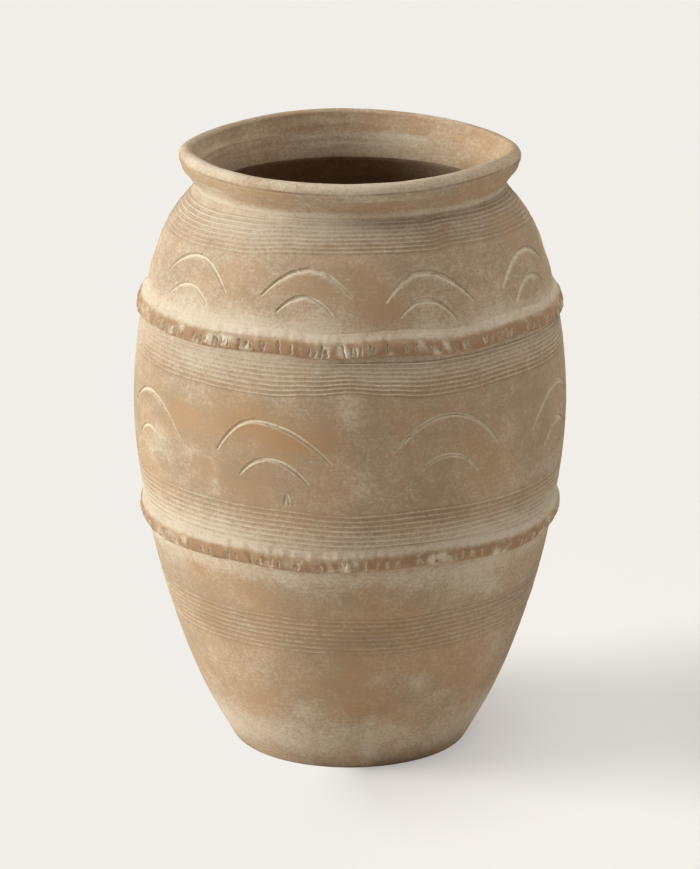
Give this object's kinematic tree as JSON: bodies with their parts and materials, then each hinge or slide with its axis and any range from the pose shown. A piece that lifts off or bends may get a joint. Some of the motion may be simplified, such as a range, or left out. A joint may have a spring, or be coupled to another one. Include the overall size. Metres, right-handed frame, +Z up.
{
  "type": "storage jar",
  "caption": "Tall ovoid storage jar with a flat foot, slashed cordons over its joints, a flared collar and a waving rolled lip round an open mouth.",
  "frame": {"origin": "middle of the flat foot, at the surface that the jar stands on", "axes": "+Z up along the jar's axis; -Y towards the side shown in the picture; +X to the viewer's right"},
  "size_m": [0.2984, 0.2984, 0.4221],
  "materials": {
    "washed_terracotta": "matte unglazed tan terracotta with a chalky pale wash",
    "lip_terracotta": "matte unglazed tan terracotta, wiped smooth",
    "rubbed_terracotta": "matte unglazed reddish brown terracotta with pale clay left in the slashes"
  },
  "bodies": {
    "root": {"floor_disc": "washed_terracotta", "lower_wall": "washed_terracotta", "belly_wall": "washed_terracotta", "shoulder_wall": "washed_terracotta", "neck_collar": "washed_terracotta", "rim_roll": "lip_terracotta", "lower_cordon": "rubbed_terracotta", "upper_cordon": "rubbed_terracotta"}
  },
  "joints": []
}
